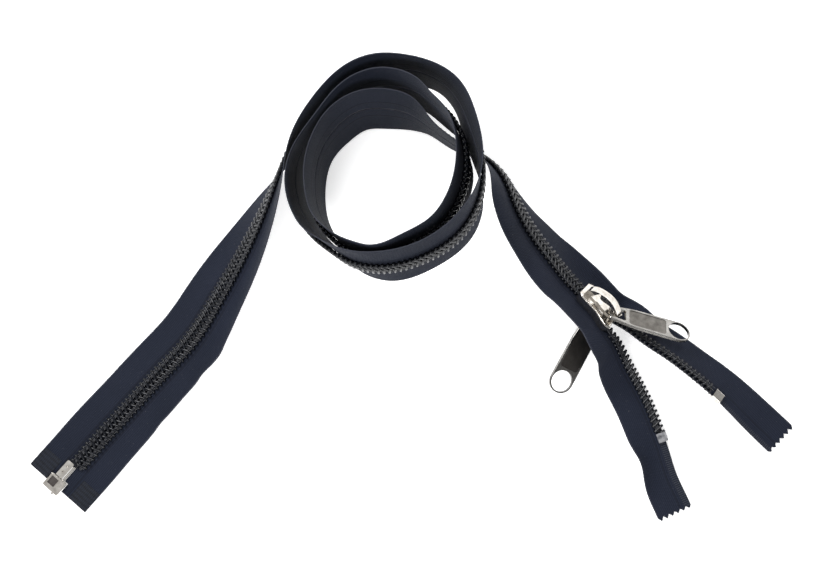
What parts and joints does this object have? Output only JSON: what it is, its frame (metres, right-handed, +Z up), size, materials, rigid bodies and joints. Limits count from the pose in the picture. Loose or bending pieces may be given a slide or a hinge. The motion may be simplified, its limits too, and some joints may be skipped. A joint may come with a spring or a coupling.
{
  "type": "zipper",
  "caption": "Separating coil zipper with a double-sided slider and two long pull tabs, its closed chain wound into a standing loop.",
  "frame": {"origin": "centre of the bounding box in plan, at the surface the zipper lies on", "axes": "+Z up; +X from the pin-and-box end towards the pinked ends; +Y from the slider towards the wound loop"},
  "size_m": [0.3972, 0.2414, 0.0835],
  "materials": {
    "tape_cloth": "woven polyester, matt",
    "coil_teeth": "glossy nylon monofilament",
    "cord": "twisted cord, matt",
    "thread": "sewing thread, matt",
    "end_film": "thin film pressed into the weave",
    "clear_stop": "clear moulded plastic",
    "plated_metal": "nickel plate, polished and lightly rubbed"
  },
  "bodies": {
    "chain": {"tape_left": "tape_cloth", "tape_right": "tape_cloth", "coil_left": "coil_teeth", "coil_right": "coil_teeth", "filler_cord_left": "cord", "filler_cord_right": "cord", "stitching_left": "thread", "stitching_right": "thread", "end_film_left_front": "end_film", "end_film_left_back": "end_film", "end_film_right_front": "end_film", "end_film_right_back": "end_film", "retainer_box": "plated_metal", "box_pin": "plated_metal", "insertion_pin": "plated_metal", "top_stop_left": "plated_metal", "top_stop_right": "clear_stop"},
    "slider": {"slider_front_plate": "plated_metal", "slider_rear_plate": "plated_metal", "slider_diamond": "plated_metal", "bridge_front": "plated_metal", "bridge_rear": "plated_metal"},
    "front_pull": {"pull_tab_front": "plated_metal"},
    "rear_pull": {"pull_tab_rear": "plated_metal"}
  },
  "joints": [
    {"name": "slider_travel", "type": "slide", "parent": "chain", "child": "slider", "axis": [0.682, -0.7314, 0], "range_m": [-0.02, 0], "deforming": ["tape_left", "tape_right", "coil_left", "coil_right", "filler_cord_left", "filler_cord_right", "stitching_left", "stitching_right"]},
    {"name": "front_pull_swing", "type": "hinge", "parent": "slider", "child": "front_pull", "pos_m": [0.10191, -0.01147, 0.01797], "axis": [0.0477, 0.709, -0.7036], "range_deg": [-25, 5]},
    {"name": "rear_pull_swing", "type": "hinge", "parent": "slider", "child": "rear_pull", "pos_m": [0.09477, -0.01393, 0.00538], "axis": [0.8299, -0.4421, -0.3404], "range_deg": [-40, 0]}
  ]
}
